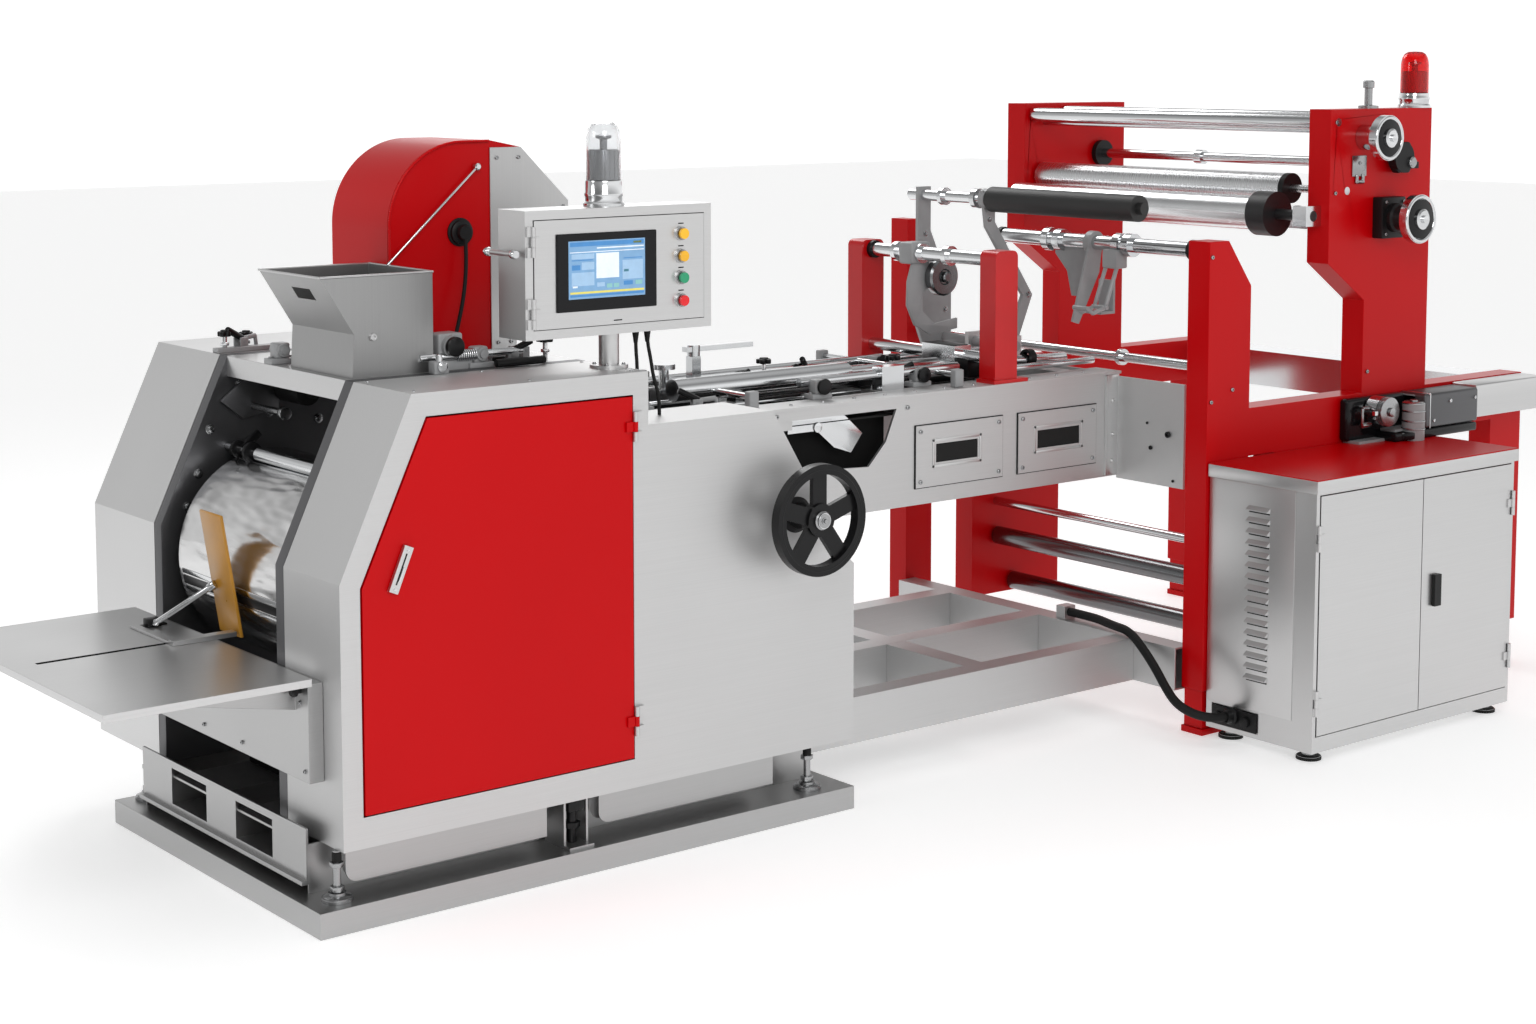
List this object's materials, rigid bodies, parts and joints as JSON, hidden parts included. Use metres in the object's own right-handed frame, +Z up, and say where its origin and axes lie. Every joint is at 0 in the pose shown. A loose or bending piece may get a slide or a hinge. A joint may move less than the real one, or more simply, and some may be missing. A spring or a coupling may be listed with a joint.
{
  "type": "paper bag making machine",
  "caption": "Roll-fed paper bag making machine with enclosed forming drum, open forming section, red unwinder stand, operator panel and electrical cabinet.",
  "frame": {"origin": "centre of the base plate's underside, on the floor", "axes": "+X along the machine from the delivery table towards the unwinder stand, +Y from the operator side to the far side, +Z up"},
  "size_m": [4.741, 1.844, 1.962],
  "materials": {
    "stainless": "brushed",
    "red_paint": "powder coat, gloss",
    "polished_chrome": "polished",
    "turned_steel": "turned",
    "roller_aluminium": "satin anodised",
    "grey_casting": "cast, satin",
    "black_plastic": "matte",
    "black_gloss": "gloss",
    "black_rubber": "matte",
    "amber_phenolic": "satin",
    "beacon_plastic": "clear, gloss",
    "button_amber": "gloss",
    "button_green": "gloss",
    "button_red": "gloss",
    "screen_frame": "gloss"
  },
  "bodies": {
    "machine_frame": {"base_plate": "stainless", "chassis_box": "stainless", "chassis_rails": "stainless", "levelling_feet": "turned_steel", "near_housing": "stainless", "far_housing": "stainless", "frame_plates": "stainless", "top_deck": "stainless", "delivery_table": "stainless", "front_cover": "stainless", "hopper": "stainless", "roll_guard": "red_paint", "guard_panel": "stainless", "operator_box": "stainless", "beacons": "beacon_plastic", "forming_rails": "stainless", "forming_posts": "red_paint", "former_tubes": "polished_chrome", "stand_frames": "red_paint", "stand_tie_bars": "polished_chrome", "cabinet_shell": "stainless", "cabinet_top": "red_paint", "web_guide_body": "grey_casting", "main_motor": "grey_casting", "drive_belt": "black_rubber", "guard_cable": "black_rubber", "operator_cable_left": "black_rubber", "operator_cable_right": "black_rubber", "hose_long": "black_rubber"},
    "drum": {"forming_drum": "roller_aluminium"},
    "main_shaft": {"handwheel": "black_plastic", "handwheel_shaft": "polished_chrome"},
    "side_door_leaf": {"side_door": "red_paint"},
    "side_handle": {"side_door_handle": "stainless"},
    "operator_door_leaf": {"operator_door": "stainless", "touch_screen": "screen_frame"},
    "push_amber_upper": {"button_amber_upper": "button_amber"},
    "push_amber_lower": {"button_amber_lower": "button_amber"},
    "push_green": {"button_green": "button_green"},
    "push_red": {"button_red": "button_red"},
    "cabinet_leaf_left": {"cabinet_door_left": "stainless"},
    "cabinet_leaf_right": {"cabinet_door_right": "stainless"},
    "cabinet_latch": {"cabinet_handle": "black_plastic"},
    "press_roll": {"press_roller": "polished_chrome"},
    "rubber_roll": {"rubber_roller": "black_rubber"},
    "guide_roll": {"guide_roller": "polished_chrome"},
    "web_roll_front": {"web_roller_front": "roller_aluminium"},
    "web_roll_rear": {"web_roller_rear": "roller_aluminium"},
    "lower_roll_front": {"lower_roller_front": "roller_aluminium"},
    "lower_roll_rear": {"lower_roller_rear": "roller_aluminium"},
    "swing": {"swing_arm": "turned_steel"},
    "dancer": {"dancer_arm": "turned_steel"},
    "tension_wheel": {"tension_handwheel": "polished_chrome"},
    "guide_wheel": {"guide_handwheel": "polished_chrome"},
    "knob_tension": {"tension_knob": "black_plastic"},
    "paddle": {"delivery_paddle": "amber_phenolic"},
    "stop": {"table_stop": "stainless"},
    "knob_forming": {"forming_knob": "polished_chrome"},
    "lever_forming": {"forming_lever": "polished_chrome"},
    "crank": {"guide_crank": "polished_chrome"}
  },
  "joints": [
    {"name": "drum_spin", "type": "hinge", "parent": "machine_frame", "child": "drum", "pos_m": [-0.426, 0.0575, 0.707], "axis": [0, 1, 0], "continuous": true},
    {"name": "handwheel_spin", "type": "hinge", "parent": "machine_frame", "child": "main_shaft", "pos_m": [0.603, 0.0575, 0.789], "axis": [0, 1, 0], "continuous": true},
    {"name": "side_door_swing", "type": "hinge", "parent": "machine_frame", "child": "side_door_leaf", "pos_m": [0.1, -0.5215, 0.7], "axis": [0, 0, 1], "range_deg": [0, 110]},
    {"name": "side_door_handle_turn", "type": "hinge", "parent": "side_door_leaf", "child": "side_handle", "pos_m": [-0.549, -0.5225, 0.8], "axis": [0, 1, 0], "range_deg": [0, 90]},
    {"name": "operator_door_swing", "type": "hinge", "parent": "machine_frame", "child": "operator_door_leaf", "pos_m": [-0.146, -0.4585, 1.43], "axis": [0, 0, -1], "range_deg": [0, 110]},
    {"name": "button_amber_upper_press", "type": "slide", "parent": "operator_door_leaf", "child": "push_amber_upper", "axis": [0, 1, 0], "range_m": [0, 0.004], "stiffness_N_per_m": 400, "springref_m": -0.002},
    {"name": "button_amber_lower_press", "type": "slide", "parent": "operator_door_leaf", "child": "push_amber_lower", "axis": [0, 1, 0], "range_m": [0, 0.004], "stiffness_N_per_m": 400, "springref_m": -0.002},
    {"name": "button_green_press", "type": "slide", "parent": "operator_door_leaf", "child": "push_green", "axis": [0, 1, 0], "range_m": [0, 0.004], "stiffness_N_per_m": 400, "springref_m": -0.002},
    {"name": "button_red_press", "type": "slide", "parent": "operator_door_leaf", "child": "push_red", "axis": [0, 1, 0], "range_m": [0, 0.004], "stiffness_N_per_m": 400, "springref_m": -0.002},
    {"name": "cabinet_door_left_swing", "type": "hinge", "parent": "machine_frame", "child": "cabinet_leaf_left", "pos_m": [2.022, -1.0385, 0.4], "axis": [0, 0, -1], "range_deg": [0, 115]},
    {"name": "cabinet_door_right_swing", "type": "hinge", "parent": "machine_frame", "child": "cabinet_leaf_right", "pos_m": [2.911, -1.0385, 0.4], "axis": [0, 0, 1], "range_deg": [0, 115]},
    {"name": "cabinet_handle_turn", "type": "hinge", "parent": "cabinet_leaf_right", "child": "cabinet_latch", "pos_m": [2.548, -1.0225, 0.42], "axis": [0, 1, 0], "range_deg": [0, 90]},
    {"name": "press_roller_spin", "type": "hinge", "parent": "machine_frame", "child": "press_roll", "pos_m": [-0.513, 0.0575, 0.963], "axis": [0, 1, 0], "continuous": true},
    {"name": "swing_arm_tilt", "type": "hinge", "parent": "machine_frame", "child": "swing", "pos_m": [1.915, 0.1575, 1.072], "axis": [0, 1, 0], "range_deg": [-10, 10]},
    {"name": "rubber_roller_spin", "type": "hinge", "parent": "swing", "child": "rubber_roll", "pos_m": [1.825, -0.2425, 1.52], "axis": [0, 1, 0], "continuous": true},
    {"name": "guide_roller_spin", "type": "hinge", "parent": "machine_frame", "child": "guide_roll", "pos_m": [2.56, -0.0425, 1.752], "axis": [0, 1, 0], "continuous": true},
    {"name": "web_roller_front_spin", "type": "hinge", "parent": "machine_frame", "child": "web_roll_front", "pos_m": [2.487, -0.0425, 1.476], "axis": [0, 1, 0], "continuous": true},
    {"name": "web_roller_rear_spin", "type": "hinge", "parent": "machine_frame", "child": "web_roll_rear", "pos_m": [2.605, -0.0425, 1.548], "axis": [0, 1, 0], "continuous": true},
    {"name": "lower_roller_front_spin", "type": "hinge", "parent": "machine_frame", "child": "lower_roll_front", "pos_m": [2.406, -0.0425, 0.345], "axis": [0, 1, 0], "continuous": true},
    {"name": "lower_roller_rear_spin", "type": "hinge", "parent": "machine_frame", "child": "lower_roll_rear", "pos_m": [2.48, -0.0425, 0.182], "axis": [0, 1, 0], "continuous": true},
    {"name": "dancer_arm_swing", "type": "hinge", "parent": "machine_frame", "child": "dancer", "pos_m": [2.055, -0.1425, 1.392], "axis": [0, 1, 0], "range_deg": [-15, 25]},
    {"name": "tension_handwheel_turn", "type": "hinge", "parent": "machine_frame", "child": "tension_wheel", "pos_m": [2.673, -0.6925, 1.706], "axis": [0, 1, 0], "continuous": true},
    {"name": "guide_handwheel_turn", "type": "hinge", "parent": "machine_frame", "child": "guide_wheel", "pos_m": [2.781, -0.7225, 1.464], "axis": [0, 1, 0], "continuous": true},
    {"name": "tension_knob_turn", "type": "hinge", "parent": "machine_frame", "child": "knob_tension", "pos_m": [2.823, -0.6725, 1.643], "axis": [0, 1, 0], "continuous": true},
    {"name": "delivery_paddle_tilt", "type": "hinge", "parent": "machine_frame", "child": "paddle", "pos_m": [-0.801, 0.2135, 0.582], "axis": [0, -1, 0], "range_deg": [0, 25]},
    {"name": "table_stop_slide", "type": "slide", "parent": "machine_frame", "child": "stop", "axis": [1, 0, 0], "range_m": [-0.25, 0]},
    {"name": "forming_knob_turn", "type": "hinge", "parent": "machine_frame", "child": "knob_forming", "pos_m": [0.625, 0.0825, 1.08], "axis": [0, 0, 1], "continuous": true},
    {"name": "forming_lever_turn", "type": "hinge", "parent": "machine_frame", "child": "lever_forming", "pos_m": [0.73, 0.0875, 1.14], "axis": [0, 0, 1], "range_deg": [-45, 45]},
    {"name": "guide_crank_turn", "type": "hinge", "parent": "machine_frame", "child": "crank", "pos_m": [2.705, -0.7025, 0.888], "axis": [0, 1, 0], "continuous": true}
  ],
  "couplings": [
    {"joint": "handwheel_spin", "follows": "drum_spin", "ratio": 2}
  ]
}
